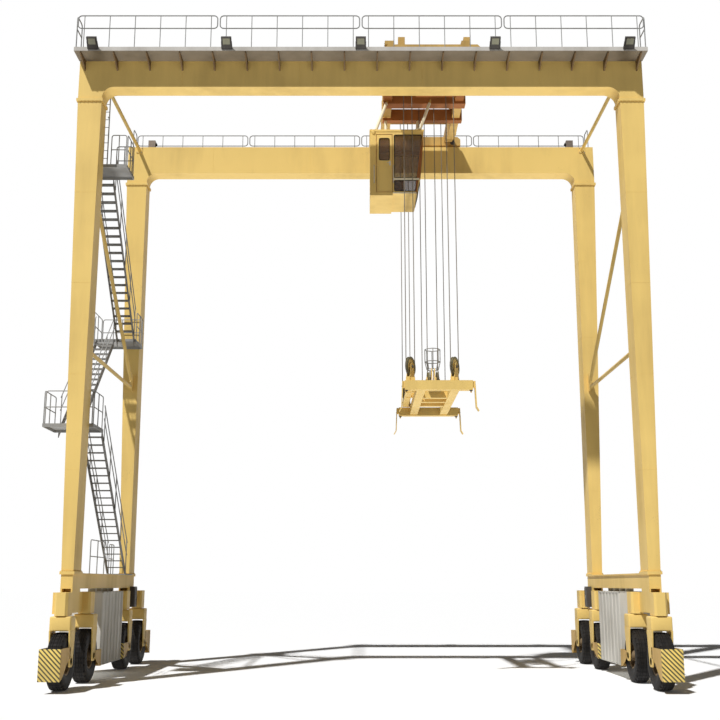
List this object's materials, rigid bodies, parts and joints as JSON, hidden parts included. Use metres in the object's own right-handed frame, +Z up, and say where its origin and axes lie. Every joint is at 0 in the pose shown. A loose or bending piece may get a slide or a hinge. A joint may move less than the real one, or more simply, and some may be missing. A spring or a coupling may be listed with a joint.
{
  "type": "rubber tyred gantry crane",
  "caption": "Portal crane on steerable rubber wheels, with a trolley, operator cabin, hoist ropes and container spreader.",
  "frame": {"origin": "on the ground under the middle of the whole machine, stairs and machinery houses included", "axes": "+X along the girders away from the stairs, +Y along the travel way to the rear, +Z up"},
  "size_m": [21.3, 13.608, 23.8],
  "materials": {
    "yellow_paint": "satin",
    "galvanised_steel": "matt",
    "rail_steel": "satin",
    "grey_paint": "satin",
    "dark_housing": "satin",
    "window_glass": "gloss",
    "seat_cover": "matt",
    "tyre_rubber": "matt"
  },
  "bodies": {
    "portal": {"front_girder": "yellow_paint", "rear_girder": "yellow_paint", "front_left_leg": "yellow_paint", "front_right_leg": "yellow_paint", "rear_left_leg": "yellow_paint", "rear_right_leg": "yellow_paint", "left_sill_beam": "yellow_paint", "right_sill_beam": "yellow_paint", "bogie_beams": "yellow_paint", "side_bracing": "yellow_paint", "front_walkway": "galvanised_steel", "rear_walkway": "galvanised_steel", "front_handrail": "galvanised_steel", "rear_handrail": "galvanised_steel", "floodlights": "dark_housing", "trolley_rails": "rail_steel", "stair_landings": "galvanised_steel", "stair_stringers": "galvanised_steel", "stair_treads": "galvanised_steel", "stair_handrails": "galvanised_steel", "access_ladder": "galvanised_steel", "left_power_house": "grey_paint", "right_power_house": "grey_paint"},
    "trolley": {"trolley_frame": "yellow_paint", "hoist_machinery": "grey_paint", "cabin_shell": "yellow_paint", "cabin_glass": "window_glass", "operator_seat": "seat_cover", "hoist_ropes": "rail_steel"},
    "cabin_door": {"cabin_door": "yellow_paint"},
    "load_gear": {"headblock": "yellow_paint", "rope_sheaves": "rail_steel", "spreader_frame": "yellow_paint"},
    "front_left_outer_steer": {"front_left_outer_fork": "yellow_paint"},
    "front_left_outer_wheel": {"front_left_outer_tyre": "tyre_rubber", "front_left_outer_rim": "rail_steel"},
    "front_left_inner_steer": {"front_left_inner_fork": "yellow_paint"},
    "front_left_inner_wheel": {"front_left_inner_tyre": "tyre_rubber", "front_left_inner_rim": "rail_steel"},
    "rear_left_outer_steer": {"rear_left_outer_fork": "yellow_paint"},
    "rear_left_outer_wheel": {"rear_left_outer_tyre": "tyre_rubber", "rear_left_outer_rim": "rail_steel"},
    "rear_left_inner_steer": {"rear_left_inner_fork": "yellow_paint"},
    "rear_left_inner_wheel": {"rear_left_inner_tyre": "tyre_rubber", "rear_left_inner_rim": "rail_steel"},
    "front_right_outer_steer": {"front_right_outer_fork": "yellow_paint"},
    "front_right_outer_wheel": {"front_right_outer_tyre": "tyre_rubber", "front_right_outer_rim": "rail_steel"},
    "front_right_inner_steer": {"front_right_inner_fork": "yellow_paint"},
    "front_right_inner_wheel": {"front_right_inner_tyre": "tyre_rubber", "front_right_inner_rim": "rail_steel"},
    "rear_right_outer_steer": {"rear_right_outer_fork": "yellow_paint"},
    "rear_right_outer_wheel": {"rear_right_outer_tyre": "tyre_rubber", "rear_right_outer_rim": "rail_steel"},
    "rear_right_inner_steer": {"rear_right_inner_fork": "yellow_paint"},
    "rear_right_inner_wheel": {"rear_right_inner_tyre": "tyre_rubber", "rear_right_inner_rim": "rail_steel"}
  },
  "joints": [
    {"name": "trolley_travel", "type": "slide", "parent": "portal", "child": "trolley", "axis": [1, 0, 0], "range_m": [-8.4, 3.8]},
    {"name": "hoist", "type": "slide", "parent": "trolley", "child": "load_gear", "axis": [0, 0, 1], "range_m": [-8.9, 5.9], "deforming": ["hoist_ropes"]},
    {"name": "cabin_door_swing", "type": "hinge", "parent": "trolley", "child": "cabin_door", "pos_m": [0.8, -2.112, 18.6], "axis": [0, 0, -1], "range_deg": [0, 110]},
    {"name": "front_left_outer_steering", "type": "hinge", "parent": "portal", "child": "front_left_outer_steer", "pos_m": [-9.04, -5.6, 2.2], "axis": [0, 0, 1], "range_deg": [0, 90]},
    {"name": "front_left_outer_roll", "type": "hinge", "parent": "front_left_outer_steer", "child": "front_left_outer_wheel", "pos_m": [-9.04, -5.6, 0.87], "axis": [1, 0, 0], "continuous": true},
    {"name": "front_left_inner_steering", "type": "hinge", "parent": "portal", "child": "front_left_inner_steer", "pos_m": [-9.04, -2.8, 2.2], "axis": [0, 0, 1], "range_deg": [0, 90]},
    {"name": "front_left_inner_roll", "type": "hinge", "parent": "front_left_inner_steer", "child": "front_left_inner_wheel", "pos_m": [-9.04, -2.8, 0.87], "axis": [1, 0, 0], "continuous": true},
    {"name": "rear_left_outer_steering", "type": "hinge", "parent": "portal", "child": "rear_left_outer_steer", "pos_m": [-9.04, 5.6, 2.2], "axis": [0, 0, 1], "range_deg": [0, 90]},
    {"name": "rear_left_outer_roll", "type": "hinge", "parent": "rear_left_outer_steer", "child": "rear_left_outer_wheel", "pos_m": [-9.04, 5.6, 0.87], "axis": [1, 0, 0], "continuous": true},
    {"name": "rear_left_inner_steering", "type": "hinge", "parent": "portal", "child": "rear_left_inner_steer", "pos_m": [-9.04, 2.8, 2.2], "axis": [0, 0, 1], "range_deg": [0, 90]},
    {"name": "rear_left_inner_roll", "type": "hinge", "parent": "rear_left_inner_steer", "child": "rear_left_inner_wheel", "pos_m": [-9.04, 2.8, 0.87], "axis": [1, 0, 0], "continuous": true},
    {"name": "front_right_outer_steering", "type": "hinge", "parent": "portal", "child": "front_right_outer_steer", "pos_m": [9.44, -5.6, 2.2], "axis": [0, 0, 1], "range_deg": [0, 90]},
    {"name": "front_right_outer_roll", "type": "hinge", "parent": "front_right_outer_steer", "child": "front_right_outer_wheel", "pos_m": [9.44, -5.6, 0.87], "axis": [1, 0, 0], "continuous": true},
    {"name": "front_right_inner_steering", "type": "hinge", "parent": "portal", "child": "front_right_inner_steer", "pos_m": [9.44, -2.8, 2.2], "axis": [0, 0, 1], "range_deg": [0, 90]},
    {"name": "front_right_inner_roll", "type": "hinge", "parent": "front_right_inner_steer", "child": "front_right_inner_wheel", "pos_m": [9.44, -2.8, 0.87], "axis": [1, 0, 0], "continuous": true},
    {"name": "rear_right_outer_steering", "type": "hinge", "parent": "portal", "child": "rear_right_outer_steer", "pos_m": [9.44, 5.6, 2.2], "axis": [0, 0, 1], "range_deg": [0, 90]},
    {"name": "rear_right_outer_roll", "type": "hinge", "parent": "rear_right_outer_steer", "child": "rear_right_outer_wheel", "pos_m": [9.44, 5.6, 0.87], "axis": [1, 0, 0], "continuous": true},
    {"name": "rear_right_inner_steering", "type": "hinge", "parent": "portal", "child": "rear_right_inner_steer", "pos_m": [9.44, 2.8, 2.2], "axis": [0, 0, 1], "range_deg": [0, 90]},
    {"name": "rear_right_inner_roll", "type": "hinge", "parent": "rear_right_inner_steer", "child": "rear_right_inner_wheel", "pos_m": [9.44, 2.8, 0.87], "axis": [1, 0, 0], "continuous": true}
  ],
  "couplings": [
    {"joint": "front_left_inner_steering", "follows": "front_left_outer_steering", "ratio": 1},
    {"joint": "rear_left_inner_steering", "follows": "rear_left_outer_steering", "ratio": 1},
    {"joint": "front_right_inner_steering", "follows": "front_right_outer_steering", "ratio": 1},
    {"joint": "rear_right_inner_steering", "follows": "rear_right_outer_steering", "ratio": 1}
  ]
}
